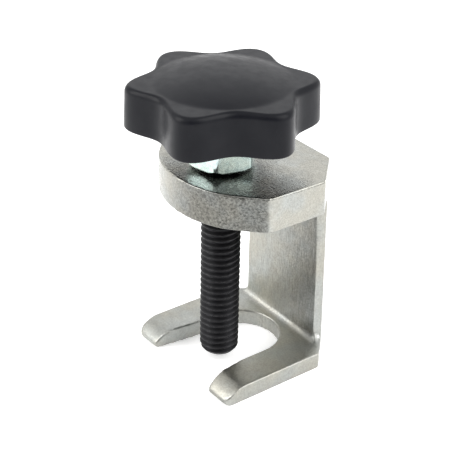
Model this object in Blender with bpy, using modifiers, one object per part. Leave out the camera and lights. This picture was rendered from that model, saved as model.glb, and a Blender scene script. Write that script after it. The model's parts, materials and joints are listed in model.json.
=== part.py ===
"""Ball joint separator: a forged C-shaped frame with a forked foot, a forcing screw through its upper arm,
a lock nut, and a six-lobed hand knob with a metal bush in its hub.

Units are metres. Every part is laid out with the screw on the Z axis, the foot on z = 0 and the fork opening
towards -Y. One empty then carries the whole object along Y, so that the origin is under the middle of its box.
"""

import math

import bmesh
import bpy
from mathutils import Matrix, Vector

MM = 0.001
FIT_GAP = 0.3 * MM
CUT_MARGIN = 0.25 * MM
WELD_DISTANCE = 0.001 * MM
SHARP_ANGLE = math.radians(35)

# Forcing screw
SCREW_RADIUS = 6.0 * MM
PITCH = 2.0 * MM
THREAD_DEPTH = 1.15 * MM
ROOT_RADIUS = SCREW_RADIUS - THREAD_DEPTH
CREST_FLAT = PITCH / 8
FLANK_SLOPE = math.tan(math.radians(30))
TURN_STEPS = 16
TIP_Z = 2.4 * MM
NOSE_LENGTH = 4.0 * MM
NOSE_FLAT_RADIUS = 2.6 * MM
SPIGOT_END_GAP = 0.7 * MM
SPIGOT_RADIUS = ROOT_RADIUS - 0.3 * MM
SPIGOT_CHAMFER = 0.6 * MM

# Frame
HEIGHT = 67.2 * MM
ARM_THICKNESS = 11.1 * MM
ARM_HALF_WIDTH = 25.7 * MM
ARM_FLARE = 0.022
ARM_NOSE_RADIUS = 28.1 * MM
ARM_NOSE_Y = -16.1 * MM
FOOT_THICKNESS = 5.4 * MM
FOOT_HALF_WIDTH = 23.7 * MM
WEB_HALF_WIDTH = 16.8 * MM
WEB_FRONT_Y = 24.0 * MM
BACK_Y = 28.3 * MM
CORNER_REACH = 44.5 * MM
CORNER_TAPER = 0.02
WEB_FOOT_FILLET = 2.0 * MM
WEB_ARM_FILLET = 3.0 * MM
SIDE_FILLET = 3.6 * MM
TIP_Y = -14.6 * MM
TIP_THICKNESS = 2.0 * MM
TIP_UNDERCUT = 0.9 * MM
RAMP_START_Y = -8.4 * MM
RAMP_MIDDLE_Y = -12.1 * MM
RAMP_MIDDLE_Z = 4.0 * MM
SLOT_RADIUS = 12.2 * MM
SLOT_CENTRE_Y = 8.4 * MM
SLOT_FLARE = 0.064
FRAME_EDGE = 0.6 * MM
BORE_CHAMFER = 0.8 * MM

# Lock nut
NUT_ACROSS_FLATS = 19.0 * MM
NUT_HEIGHT = 10.0 * MM
NUT_SEAT_GAP = 0.7 * MM
NUT_ANGLE = math.radians(-46.5)
NUT_FACE_RADIUS = NUT_ACROSS_FLATS / 2 - 0.3 * MM

# Hand knob
KNOB_MEAN_RADIUS = 25.1 * MM
LOBE_HEIGHT = 2.8 * MM
LOBE_SHARPNESS = 0.055
LOBES = 6
LOBE_ANGLE = math.radians(1.2)
KNOB_RIM_HEIGHT = 12.7 * MM
HUB_DROP = 1.7 * MM
DOME_RADIUS = 20.6 * MM
DOME_HEIGHT = 3.4 * MM
KNOB_EDGE = 1.2 * MM
KNOB_WALL = 3.2 * MM
HUB_RADIUS = 10.2 * MM
HOLLOW_DEPTH = 7.5 * MM
RIB_THICKNESS = 2.4 * MM
OUTLINE_STEPS_PER_LOBE = 10

# Bush in the knob's hub
BUSH_RADIUS = 7.2 * MM
BUSH_COLLAR_RADIUS = 8.4 * MM
BUSH_COLLAR_HALF_WIDTH = 1.6 * MM
BUSH_HEIGHT = 12.6 * MM
BUSH_CAP = 1.2 * MM

ARM_UNDERSIDE = HEIGHT - ARM_THICKNESS
NUT_BASE = HEIGHT + NUT_SEAT_GAP
NUT_TOP = NUT_BASE + NUT_HEIGHT
HUB_BASE = NUT_TOP + FIT_GAP
KNOB_BASE = HUB_BASE + HUB_DROP
KNOB_RIM_TOP = KNOB_BASE + KNOB_RIM_HEIGHT
SPIGOT_LENGTH = FIT_GAP + BUSH_HEIGHT - BUSH_CAP - SPIGOT_END_GAP
SCREW_TOP = NUT_TOP + SPIGOT_LENGTH
FAR = 100 * MM


def remove_everything():
    for obj in list(bpy.data.objects):
        bpy.data.objects.remove(obj)


def make_collection(name):
    collection = bpy.data.collections.new(name)
    bpy.context.scene.collection.children.link(collection)
    return collection


def make_material(name, colour, metallic, roughness):
    material = bpy.data.materials.new(name)
    material.use_nodes = True
    shader = material.node_tree.nodes["Principled BSDF"]
    shader.inputs["Base Color"].default_value = (*colour, 1)
    shader.inputs["Metallic"].default_value = metallic
    shader.inputs["Roughness"].default_value = roughness
    return material


def make_object(name, mesh, collection):
    obj = bpy.data.objects.new(name, mesh)
    collection.objects.link(obj)
    return obj


def as_cutter(obj):
    obj.display_type = "WIRE"
    obj.hide_render = True
    return obj


def boolean(obj, cutter, operation):
    modifier = obj.modifiers.new(f"{operation.lower()} {cutter.name}", "BOOLEAN")
    modifier.operation = operation
    modifier.solver = "EXACT"
    modifier.object = cutter


def round_edges(obj, width, segments, angle):
    bevel = obj.modifiers.new("rounded edges", "BEVEL")
    bevel.width = width
    bevel.segments = segments
    bevel.limit_method = "ANGLE"
    bevel.angle_limit = math.radians(angle)


def arc(centre, radius, start, end, segments):
    """Points on an arc, with angles in degrees."""
    points = []
    for step in range(segments + 1):
        angle = math.radians(start + (end - start) * step / segments)
        points.append((centre[0] + radius * math.cos(angle), centre[1] + radius * math.sin(angle)))
    return points


def prism(name, outlines, placement, low, high, collection):
    """Extrude closed outlines, an outer one and any holes, from low to high along the placement's Z."""
    curve = bpy.data.curves.new(name, "CURVE")
    curve.dimensions = "2D"
    curve.fill_mode = "BOTH"
    curve.extrude = (high - low) / 2
    for outline in outlines:
        spline = curve.splines.new("POLY")
        spline.points.add(len(outline) - 1)
        for point, (x, y) in zip(spline.points, outline):
            point.co = (x, y, 0, 1)
        spline.use_cyclic_u = True
    drawn = make_object(name + " outline", curve, collection)
    drawn.matrix_world = placement @ Matrix.Translation((0, 0, (low + high) / 2))
    bpy.context.view_layer.update()
    mesh = bpy.data.meshes.new_from_object(drawn.evaluated_get(bpy.context.evaluated_depsgraph_get()))
    mesh.name = name
    solid = make_object(name, mesh, collection)
    solid.matrix_world = drawn.matrix_world
    bpy.data.objects.remove(drawn)
    shape = bmesh.new()
    shape.from_mesh(mesh)
    bmesh.ops.remove_doubles(shape, verts=shape.verts, dist=WELD_DISTANCE)
    bmesh.ops.recalc_face_normals(shape, faces=shape.faces)
    shape.to_mesh(mesh)
    shape.free()
    return solid


def turned(name, profile, steps, collection):
    """Turn a profile of (radius, z) points, which runs down the outside, about the Z axis."""
    mesh = bpy.data.meshes.new(name)
    points = [(radius, 0, z) for radius, z in profile]
    mesh.from_pydata(points, [(i, i + 1) for i in range(len(points) - 1)], [])
    solid = make_object(name, mesh, collection)
    screw = solid.modifiers.new("turned", "SCREW")
    screw.steps = steps
    screw.render_steps = steps
    screw.use_merge_vertices = True
    screw.merge_threshold = WELD_DISTANCE
    return solid


def threaded_rod(name, crest_radius, root_radius, crest_flat, low, high, collection):
    """A rod with a right-hand thread, made by spinning one pitch of its profile up a helix."""
    crest = crest_flat / 2
    base = crest + (crest_radius - root_radius) * FLANK_SLOPE
    turns = math.ceil((high - low) / PITCH)
    profile = [(root_radius, -base), (crest_radius, -crest), (crest_radius, crest), (root_radius, base)]
    profile.append((root_radius, PITCH - base))
    shape = bmesh.new()
    verts = [shape.verts.new((radius, 0, low + height)) for radius, height in profile]
    edges = [shape.edges.new(pair) for pair in zip(verts, verts[1:])]
    bmesh.ops.spin(
        shape,
        geom=[*verts, *edges],
        cent=(0, 0, 0),
        axis=(0, 0, 1),
        dvec=(0, 0, PITCH / TURN_STEPS),
        angle=math.tau * turns,
        steps=TURN_STEPS * turns,
    )
    bmesh.ops.remove_doubles(shape, verts=shape.verts, dist=WELD_DISTANCE)
    middle = (low + high) / 2
    rims = [edge for edge in shape.edges if edge.is_boundary]
    for end, height in ((-1, low - PITCH), (1, low + (turns + 1) * PITCH)):
        rim = [edge for edge in rims if (edge.verts[0].co.z - middle) * end > 0]
        grown = bmesh.ops.extrude_edge_only(shape, edges=rim)["geom"]
        for vert in grown:
            if isinstance(vert, bmesh.types.BMVert):
                vert.co = (0, 0, height)
    bmesh.ops.remove_doubles(shape, verts=shape.verts, dist=WELD_DISTANCE)
    bmesh.ops.recalc_face_normals(shape, faces=shape.faces)
    mesh = bpy.data.meshes.new(name)
    shape.to_mesh(mesh)
    shape.free()
    return make_object(name, mesh, collection)


def plan_view():
    return Matrix.Identity(4)


def front_view():
    """Outline X is world X, and outline Y is world Z."""
    return Matrix.Rotation(math.radians(90), 4, "X")


def side_view():
    """Outline X is world Y, and outline Y is world Z."""
    return Matrix.Rotation(math.radians(90), 4, "Z") @ Matrix.Rotation(math.radians(90), 4, "X")


def frame_side_outline():
    """The C seen from the side: foot, web and arm, with the prongs' tips ramped down."""
    foot = FOOT_THICKNESS
    outline = [(BACK_Y, 0), (BACK_Y, HEIGHT), (ARM_NOSE_Y - FAR, HEIGHT), (ARM_NOSE_Y - FAR, ARM_UNDERSIDE)]
    outline += arc(
        (WEB_FRONT_Y - WEB_ARM_FILLET, ARM_UNDERSIDE - WEB_ARM_FILLET), WEB_ARM_FILLET, 90, 0, 5
    )
    outline += arc((WEB_FRONT_Y - WEB_FOOT_FILLET, foot + WEB_FOOT_FILLET), WEB_FOOT_FILLET, 0, -90, 4)
    outline += [(RAMP_START_Y, foot), (RAMP_MIDDLE_Y, RAMP_MIDDLE_Z)]
    return outline + [(TIP_Y, TIP_THICKNESS), (TIP_Y + TIP_UNDERCUT, 0)]


def frame_front_outline():
    """Half widths seen from the front: wide foot and arm, narrow web, with fillets between them."""
    fillet = SIDE_FILLET
    side = WEB_HALF_WIDTH
    foot = FOOT_THICKNESS + CUT_MARGIN
    arm = ARM_UNDERSIDE - CUT_MARGIN
    half = [(FOOT_HALF_WIDTH, -FAR), (FOOT_HALF_WIDTH, foot)]
    half += arc((side + fillet, foot + fillet), fillet, 270, 180, 5)
    half += arc((side + fillet, arm - fillet), fillet, 180, 90, 5)
    half += [(2 * ARM_HALF_WIDTH, arm), (2 * ARM_HALF_WIDTH, FAR)]
    return half + [(-x, z) for x, z in reversed(half)]


def arm_outline():
    """The arm from above: a round front between slightly flared sides, open to the back."""
    centre_y = ARM_NOSE_Y + ARM_NOSE_RADIUS
    meet = math.degrees(math.acos(ARM_HALF_WIDTH / ARM_NOSE_RADIUS))
    front = arc((0, centre_y), ARM_NOSE_RADIUS, 180 + meet, 360 - meet, 20)
    back_half_width = ARM_HALF_WIDTH + ARM_FLARE * (2 * BACK_Y)
    return [*front, (back_half_width, 2 * BACK_Y), (-back_half_width, 2 * BACK_Y)]


def slot_outline():
    """The fork's slot: a round end, then sides that spread slightly towards the tips."""
    end = arc((0, SLOT_CENTRE_Y), SLOT_RADIUS, 0, 180, 20)
    spread = SLOT_RADIUS + SLOT_FLARE * (SLOT_CENTRE_Y + FAR)
    return [*end, (-spread, -FAR), (spread, -FAR)]


def threaded_bore(obj, low, high, tap, cutters):
    """Cut the thread from low to high, with a chamfer at each mouth."""
    boolean(obj, tap, "DIFFERENCE")
    inner = ROOT_RADIUS
    mouth = SCREW_RADIUS + FIT_GAP + BORE_CHAMFER
    past = 1.0 * MM
    for face, outward, name in ((high, 1, "upper"), (low, -1, "lower")):
        profile = [
            (0, face + outward * past),
            (mouth + past, face + outward * past),
            (inner, face - outward * (mouth - inner)),
            (0, face - outward * (mouth - inner)),
        ]
        if outward < 0:
            profile.reverse()
        chamfer = as_cutter(turned(f"{obj.name} {name} chamfer", profile, 2 * TURN_STEPS, cutters))
        boolean(obj, chamfer, "DIFFERENCE")


def make_frame(parts, cutters, tap):
    frame = prism("frame", [frame_side_outline()], side_view(), -FAR / 2, FAR / 2, parts)
    front = as_cutter(prism("frame front", [frame_front_outline()], front_view(), -FAR, FAR, cutters))
    boolean(frame, front, "INTERSECT")
    border = [(-FAR, -2 * FAR), (FAR, -2 * FAR), (FAR, FAR), (-FAR, FAR)]
    above_web = HEIGHT / 2
    trim = prism("arm trim", [border, arm_outline()], plan_view(), above_web, FAR, cutters)
    boolean(frame, as_cutter(trim), "DIFFERENCE")
    for side, name in ((-1, "left corner"), (1, "right corner")):
        outward = Vector((side, 1, CORNER_TAPER)).normalized()
        bpy.ops.mesh.primitive_cube_add(size=2 * FAR)
        corner = as_cutter(bpy.context.object)
        corner.name = name
        corner.rotation_mode = "QUATERNION"
        corner.rotation_quaternion = outward.to_track_quat("Z", "Y")
        corner.location = Vector((side * CORNER_REACH / 2, CORNER_REACH / 2, 0)) + outward * FAR
        bpy.context.collection.objects.unlink(corner)
        cutters.objects.link(corner)
        boolean(frame, corner, "DIFFERENCE")
    slot = prism("fork slot", [slot_outline()], plan_view(), -FAR / 2, ARM_UNDERSIDE / 2, cutters)
    boolean(frame, as_cutter(slot), "DIFFERENCE")
    round_edges(frame, FRAME_EDGE, 2, 35)
    threaded_bore(frame, ARM_UNDERSIDE, HEIGHT, tap, cutters)
    return frame


def make_screw(parts, cutters):
    screw = threaded_rod(
        "spindle_screw", SCREW_RADIUS, ROOT_RADIUS, CREST_FLAT, TIP_Z - PITCH, SCREW_TOP + PITCH, parts
    )
    envelope_radius = SCREW_RADIUS + CUT_MARGIN
    profile = [
        (0, SCREW_TOP),
        (SPIGOT_RADIUS - SPIGOT_CHAMFER, SCREW_TOP),
        (SPIGOT_RADIUS, SCREW_TOP - SPIGOT_CHAMFER),
        (SPIGOT_RADIUS, NUT_TOP),
        (envelope_radius, NUT_TOP - THREAD_DEPTH),
    ]
    nose_width = envelope_radius - NOSE_FLAT_RADIUS
    nose_steps = 5
    for step in range(nose_steps + 1):
        angle = math.radians(90 * step / nose_steps)
        radius = NOSE_FLAT_RADIUS + nose_width * math.cos(angle)
        profile.append((radius, TIP_Z + NOSE_LENGTH * (1 - math.sin(angle))))
    profile.append((0, TIP_Z))
    envelope = as_cutter(turned("screw envelope", profile, 2 * TURN_STEPS, cutters))
    boolean(screw, envelope, "INTERSECT")
    return screw


def make_nut(parts, cutters, tap):
    corner_radius = NUT_ACROSS_FLATS / math.sqrt(3)
    bpy.ops.mesh.primitive_cylinder_add(vertices=6, radius=corner_radius, depth=NUT_HEIGHT)
    nut = bpy.context.object
    nut.name = "lock_nut"
    nut.data.transform(Matrix.Rotation(NUT_ANGLE + math.radians(90), 4, "Z"))
    nut.location = (0, 0, (NUT_BASE + NUT_TOP) / 2)
    bpy.context.collection.objects.unlink(nut)
    parts.objects.link(nut)
    wide = corner_radius + CUT_MARGIN
    drop = (wide - NUT_FACE_RADIUS) * FLANK_SLOPE
    profile = [
        (0, NUT_TOP),
        (NUT_FACE_RADIUS, NUT_TOP),
        (wide, NUT_TOP - drop),
        (wide, NUT_BASE + drop),
        (NUT_FACE_RADIUS, NUT_BASE),
        (0, NUT_BASE),
    ]
    chamfers = as_cutter(turned("nut chamfers", profile, 36, cutters))
    boolean(nut, chamfers, "INTERSECT")
    threaded_bore(nut, NUT_BASE, NUT_TOP, tap, cutters)
    return nut


def lobe_radius(angle):
    wave = LOBES * (angle - LOBE_ANGLE)
    return KNOB_MEAN_RADIUS + LOBE_HEIGHT * (math.cos(wave) + LOBE_SHARPNESS * math.cos(2 * wave))


def knob_outline(inset, start, end, segments):
    """The lobed edge, moved in by an inset, between two angles."""
    points = []
    for step in range(segments + 1):
        angle = start + (end - start) * step / segments
        radius = lobe_radius(angle) - inset
        points.append((radius * math.cos(angle), radius * math.sin(angle)))
    return points


def hollow_outline(index):
    """One of the pockets under the knob, between two ribs, the hub and the outer wall."""
    pitch = math.tau / LOBES
    outer_trim = RIB_THICKNESS / 2 / (KNOB_MEAN_RADIUS - KNOB_WALL)
    inner_trim = RIB_THICKNESS / 2 / HUB_RADIUS
    start = LOBE_ANGLE + pitch * (index - 0.5)
    outer = knob_outline(KNOB_WALL, start + outer_trim, start + pitch - outer_trim, 8)
    first = math.degrees(start + pitch - inner_trim)
    last = math.degrees(start + inner_trim)
    return outer + arc((0, 0), HUB_RADIUS, first, last, 5)


def bush_profile(grow):
    """The bush's outside: a cylinder with a collar round its middle, made larger by grow."""
    middle = HUB_BASE + BUSH_HEIGHT / 2
    collar = BUSH_COLLAR_HALF_WIDTH
    slope = BUSH_COLLAR_RADIUS - BUSH_RADIUS
    return [
        (0, HUB_BASE + BUSH_HEIGHT + grow),
        (BUSH_RADIUS + grow, HUB_BASE + BUSH_HEIGHT + grow),
        (BUSH_RADIUS + grow, middle + collar + slope + grow),
        (BUSH_COLLAR_RADIUS + grow, middle + collar + grow),
        (BUSH_COLLAR_RADIUS + grow, middle - collar - grow),
        (BUSH_RADIUS + grow, middle - collar - slope - grow),
    ]


def make_knob(parts, cutters):
    outline = knob_outline(0, 0, math.tau, OUTLINE_STEPS_PER_LOBE * LOBES)[:-1]
    knob = prism("star_knob", [outline], plan_view(), KNOB_BASE, KNOB_RIM_TOP, parts)
    round_edges(knob, KNOB_EDGE, 2, 50)
    ball = (DOME_RADIUS**2 + DOME_HEIGHT**2) / (2 * DOME_HEIGHT)
    dome_profile = []
    dome_steps = 5
    for step in range(dome_steps + 1):
        radius = DOME_RADIUS * step / dome_steps
        height = math.sqrt(ball**2 - radius**2) - ball + DOME_HEIGHT
        dome_profile.append((radius, KNOB_RIM_TOP + height))
    sunk = KNOB_RIM_TOP - KNOB_EDGE
    dome_profile += [(DOME_RADIUS, sunk), (0, sunk)]
    boolean(knob, as_cutter(turned("knob dome", dome_profile, 40, cutters)), "UNION")
    for index in range(LOBES):
        low = KNOB_BASE - HUB_DROP
        high = KNOB_BASE + HOLLOW_DEPTH
        outline = hollow_outline(index)
        pocket = prism(f"knob hollow {index + 1}", [outline], plan_view(), low, high, cutters)
        boolean(knob, as_cutter(pocket), "DIFFERENCE")
    hub_top = KNOB_BASE + HOLLOW_DEPTH / 2
    hub_radius = HUB_RADIUS - FIT_GAP
    hub_profile = [(0, hub_top), (hub_radius, hub_top), (hub_radius, HUB_BASE), (0, HUB_BASE)]
    boolean(knob, as_cutter(turned("knob hub", hub_profile, 32, cutters)), "UNION")
    past = HUB_BASE - HUB_DROP
    seat = bush_profile(FIT_GAP) + [(BUSH_RADIUS + FIT_GAP, past), (0, past)]
    boolean(knob, as_cutter(turned("bush seat", seat, 28, cutters)), "DIFFERENCE")
    return knob


def make_bush(parts):
    bore = SPIGOT_RADIUS + FIT_GAP
    bore_top = HUB_BASE + BUSH_HEIGHT - BUSH_CAP
    profile = bush_profile(0) + [(BUSH_RADIUS, HUB_BASE), (bore, HUB_BASE), (bore, bore_top), (0, bore_top)]
    return turned("knob_insert", profile, 28, parts)


def make_axis(name, parts):
    """An empty on the screw's axis, level with the nut's seat."""
    axis = bpy.data.objects.new(name, None)
    axis.location = (0, 0, NUT_BASE)
    parts.objects.link(axis)
    return axis


def attach(obj, axis, material):
    obj.data.materials.clear()
    obj.data.materials.append(material)
    obj.data.shade_smooth()
    obj.data.set_sharp_from_angle(angle=SHARP_ANGLE)
    if axis is not None:
        bpy.context.view_layer.update()
        obj.parent = axis
        obj.matrix_parent_inverse = axis.matrix_world.inverted()


def screw_offset():
    """How far the screw stands along Y from the middle of the whole object's box."""
    outline = knob_outline(0, 0, math.tau, OUTLINE_STEPS_PER_LOBE * LOBES)
    front_reach = max(-y for _, y in outline)
    return (front_reach - BACK_Y) / 2


def build():
    remove_everything()
    parts = make_collection("ball joint separator")
    cutters = make_collection("cutters")
    steel = make_material("plated forged steel", (0.56, 0.55, 0.50), 1, 0.36)
    black_steel = make_material("black oxide steel", (0.02, 0.02, 0.022), 0.6, 0.45)
    zinc = make_material("zinc plate", (0.55, 0.66, 0.66), 1, 0.28)
    plastic = make_material("black moulded plastic", (0.028, 0.028, 0.031), 0, 0.46)
    brass = make_material("brass", (0.72, 0.53, 0.25), 1, 0.3)
    groove_crest = SCREW_RADIUS + FIT_GAP
    groove_root = ROOT_RADIUS + FIT_GAP
    flank_shift = FIT_GAP / math.cos(math.radians(30)) - FIT_GAP * FLANK_SLOPE
    groove_flat = CREST_FLAT + 2 * flank_shift
    lowest = TIP_Z - PITCH
    start = lowest + PITCH * math.floor((ARM_UNDERSIDE - lowest) / PITCH - 1.5)
    end = NUT_TOP + PITCH
    tap = as_cutter(threaded_rod("thread tap", groove_crest, groove_root, groove_flat, start, end, cutters))
    carrier = make_axis("travel axis", parts)
    turning = make_axis("turning axis", parts)
    attach(make_frame(parts, cutters, tap), None, steel)
    attach(make_bush(parts), carrier, brass)
    attach(make_screw(parts, cutters), turning, black_steel)
    attach(make_nut(parts, cutters, tap), turning, zinc)
    attach(make_knob(parts, cutters), turning, plastic)
    bpy.context.view_layer.update()
    turning.parent = carrier
    turning.matrix_parent_inverse = carrier.matrix_world.inverted()
    whole = bpy.data.objects.new("part origin", None)
    whole.location = (0, screw_offset(), 0)
    for obj in [*parts.objects, *cutters.objects]:
        if obj.parent is None:
            obj.parent = whole
    parts.objects.link(whole)


build()
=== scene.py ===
"""Ball joint separator: the pieces that show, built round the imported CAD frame, with finishes and a stage.

Every size is in metres. Pieces are laid out with the screw on the Z axis, then moved by AXIS to the screw's
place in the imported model.
"""

import json
import math

import bmesh
import bpy
from mathutils import Matrix, Vector, noise

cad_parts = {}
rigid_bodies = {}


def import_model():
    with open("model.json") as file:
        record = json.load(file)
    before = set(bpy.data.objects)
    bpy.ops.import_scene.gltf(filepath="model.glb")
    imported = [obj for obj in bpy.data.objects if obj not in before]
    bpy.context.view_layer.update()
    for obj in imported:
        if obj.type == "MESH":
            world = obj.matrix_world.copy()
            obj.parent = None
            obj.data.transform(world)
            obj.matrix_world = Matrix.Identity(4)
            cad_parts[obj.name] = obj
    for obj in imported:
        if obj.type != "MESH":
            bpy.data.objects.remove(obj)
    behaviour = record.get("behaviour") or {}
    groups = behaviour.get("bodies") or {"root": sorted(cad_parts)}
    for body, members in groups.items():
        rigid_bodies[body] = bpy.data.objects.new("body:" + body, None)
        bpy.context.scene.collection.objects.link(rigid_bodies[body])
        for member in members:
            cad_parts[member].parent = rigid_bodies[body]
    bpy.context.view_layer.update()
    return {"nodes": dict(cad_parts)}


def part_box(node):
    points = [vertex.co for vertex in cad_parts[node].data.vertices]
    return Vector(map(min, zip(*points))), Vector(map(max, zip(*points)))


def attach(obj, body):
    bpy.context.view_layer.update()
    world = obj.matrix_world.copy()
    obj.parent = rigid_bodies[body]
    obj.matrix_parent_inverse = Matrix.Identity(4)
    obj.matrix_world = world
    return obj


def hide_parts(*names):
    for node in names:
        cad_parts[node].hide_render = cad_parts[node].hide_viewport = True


bl_info = {
    "name": "Ball Joint Separator",
    "version": (1, 0, 0),
    "blender": (4, 5, 0),
    "location": "View3D > Sidebar > Separator",
    "description": "Builds a hand-driven ball joint separator: frame, forcing screw, lock nut and knob",
    "category": "Object",
}

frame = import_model()
MM = 0.001

BUSH_LOW, BUSH_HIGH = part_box("knob_insert")
FRAME_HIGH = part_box("frame")[1]
SCREW_LOW, SCREW_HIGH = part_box("spindle_screw")
NUT_LOW, NUT_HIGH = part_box("lock_nut")
KNOB_LOW, KNOB_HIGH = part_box("star_knob")
AXIS = Vector(((BUSH_LOW.x + BUSH_HIGH.x) / 2, (BUSH_LOW.y + BUSH_HIGH.y) / 2, 0))
BACK_Y = FRAME_HIGH.y - AXIS.y
FAR = 0.1  # further than any piece reaches
WELD_DISTANCE = 0.001 * MM
CUT_MARGIN = 0.3 * MM  # how far a cutter goes past a surface, or stays clear of it
LIGHTS_AIM = Vector((0, 0, 0.045))
FLOOR_DROP = 0.05 * MM  # keeps the floor clear of the foot's underside


# Building blocks


def work_collection():
    """The collection that holds the cutters while a piece is built. main removes it."""
    found = bpy.data.collections.get("cutters")
    if found is None:
        found = bpy.data.collections.new("cutters")
        bpy.context.scene.collection.children.link(found)
    return found


def new_object(name, mesh, collection=None):
    obj = bpy.data.objects.new(name, mesh)
    (collection or bpy.context.scene.collection).objects.link(obj)
    return obj


def object_from(shape, name, collection=None):
    """Make a bmesh an object, and free it."""
    mesh = bpy.data.meshes.new(name)
    shape.to_mesh(mesh)
    shape.free()
    return new_object(name, mesh, collection)


def as_cutter(obj):
    obj.display_type = "WIRE"
    obj.hide_render = True
    return obj


def remove_cutters():
    for obj in list(work_collection().objects):
        bpy.data.objects.remove(obj)


def boolean(obj, cutter, operation):
    modifier = obj.modifiers.new(f"{operation.lower()} {cutter.name}", "BOOLEAN")
    modifier.operation = operation
    modifier.solver = "EXACT"
    modifier.object = cutter


def apply_modifiers(obj):
    """Replace the object's mesh by what its modifiers make of it."""
    bpy.context.view_layer.update()
    evaluated = obj.evaluated_get(bpy.context.evaluated_depsgraph_get())
    mesh = bpy.data.meshes.new_from_object(evaluated)
    old = obj.data
    obj.modifiers.clear()
    obj.data = mesh
    mesh.name = obj.name
    bpy.data.meshes.remove(old)


def arc(centre, radius, start, end, segments):
    """Points on an arc, with angles in degrees."""
    points = []
    for step in range(segments + 1):
        angle = math.radians(start + (end - start) * step / segments)
        points.append((centre[0] + radius * math.cos(angle), centre[1] + radius * math.sin(angle)))
    return points


def between(before, start, end, after, share):
    """A value some share of the way from start to end, on a smooth curve led by before and after."""
    slope = end - before
    square = 2 * before - 5 * start + 4 * end - after
    cube = 3 * start - before - 3 * end + after
    return 0.5 * (2 * start + slope * share + square * share**2 + cube * share**3)


def smooth_path(points, steps):
    """A curve through the points, with so many steps between each two."""
    padded = [points[0], *points, points[-1]]
    path = []
    for stretch in zip(padded, padded[1:], padded[2:], padded[3:]):
        for step in range(steps):
            path.append(tuple(between(*values, step / steps) for values in zip(*stretch)))
    return [*path, points[-1]]


def prism(name, outlines, placement, low, high, collection=None):
    """Extrude closed outlines, an outer one and any holes, from low to high along the placement's Z."""
    curve = bpy.data.curves.new(name, "CURVE")
    curve.dimensions = "2D"
    curve.fill_mode = "BOTH"
    curve.extrude = (high - low) / 2
    for outline in outlines:
        spline = curve.splines.new("POLY")
        spline.points.add(len(outline) - 1)
        for point, (x, y) in zip(spline.points, outline):
            point.co = (x, y, 0, 1)
        spline.use_cyclic_u = True
    drawn = new_object(name + " outline", curve, collection)
    drawn.matrix_world = placement @ Matrix.Translation((0, 0, (low + high) / 2))
    bpy.context.view_layer.update()
    mesh = bpy.data.meshes.new_from_object(drawn.evaluated_get(bpy.context.evaluated_depsgraph_get()))
    mesh.transform(drawn.matrix_world)
    bpy.data.objects.remove(drawn)
    bpy.data.curves.remove(curve)
    tidy_mesh(mesh)
    mesh.name = name
    return new_object(name, mesh, collection)


def tidy_mesh(mesh):
    shape = bmesh.new()
    shape.from_mesh(mesh)
    bmesh.ops.remove_doubles(shape, verts=shape.verts, dist=WELD_DISTANCE)
    bmesh.ops.recalc_face_normals(shape, faces=shape.faces)
    shape.to_mesh(mesh)
    shape.free()


def draw_line(shape, profile):
    """Join (radius, z) points into a line, and give its points and edges."""
    verts = [shape.verts.new((radius, 0, z)) for radius, z in profile]
    return [*verts, *[shape.edges.new(pair) for pair in zip(verts, verts[1:])]]


def turned(name, profile, steps, collection=None):
    """Turn a profile of (radius, z) points about the Z axis. Points with no radius close the ends."""
    shape = bmesh.new()
    bmesh.ops.spin(
        shape,
        geom=draw_line(shape, profile),
        cent=(0, 0, 0),
        axis=(0, 0, 1),
        angle=math.tau,
        steps=steps,
        use_merge=True,
    )
    bmesh.ops.remove_doubles(shape, verts=shape.verts, dist=WELD_DISTANCE)
    bmesh.ops.recalc_face_normals(shape, faces=shape.faces)
    return object_from(shape, name, collection)


def plan_view():
    return Matrix.Identity(4)


def front_view():
    """Outline X is world X, and outline Y is world Z."""
    return Matrix.Rotation(math.radians(90), 4, "X")


def side_view():
    """Outline X is world Y, and outline Y is world Z."""
    return Matrix.Rotation(math.radians(90), 4, "Z") @ Matrix.Rotation(math.radians(90), 4, "X")


def settle(obj, body, node, material, sharp_degrees=None):
    """Move a laid-out piece to its place, finish it, and let it ride on its body in place of a CAD node."""
    obj.data.transform(Matrix.Translation(AXIS))
    obj.data.materials.clear()
    obj.data.materials.append(material)
    obj.data.shade_smooth()
    if sharp_degrees is not None:
        obj.data.set_sharp_from_angle(angle=math.radians(sharp_degrees))
    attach(obj, body)
    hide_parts(node)


# Materials


def put(tree, kind, settings=None, sockets=None):
    """Add a node, set its own settings, then link or fill its inputs."""
    node = tree.nodes.new(kind)
    for key, value in (settings or {}).items():
        setattr(node, key, value)
    for key, value in (sockets or {}).items():
        if isinstance(value, bpy.types.NodeSocket):
            tree.links.new(value, node.inputs[key])
        else:
            node.inputs[key].default_value = value
    return node


def calculate(tree, operation, first, second=0.0):
    return put(tree, "ShaderNodeMath", {"operation": operation}, {0: first, 1: second}).outputs[0]


def calculate_vector(tree, operation, sockets, output="Vector"):
    return put(tree, "ShaderNodeVectorMath", {"operation": operation}, sockets).outputs[output]


def fade(tree, value, start, end, low=0.0, high=1.0):
    """A smooth step from low to high as value goes from start to end."""
    node = put(
        tree,
        "ShaderNodeMapRange",
        {"interpolation_type": "SMOOTHSTEP"},
        {"Value": value, "From Min": start, "From Max": end, "To Min": low, "To Max": high},
    )
    return node.outputs["Result"]


def mix_colours(tree, share, first, second):
    """The colour that lies some share of the way from first to second."""
    factor, colour_a, colour_b, colour_result = 0, 6, 7, 2  # the Mix node's sockets for colours
    sockets = {factor: share, colour_a: first, colour_b: second}
    return put(tree, "ShaderNodeMix", {"data_type": "RGBA"}, sockets).outputs[colour_result]


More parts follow.
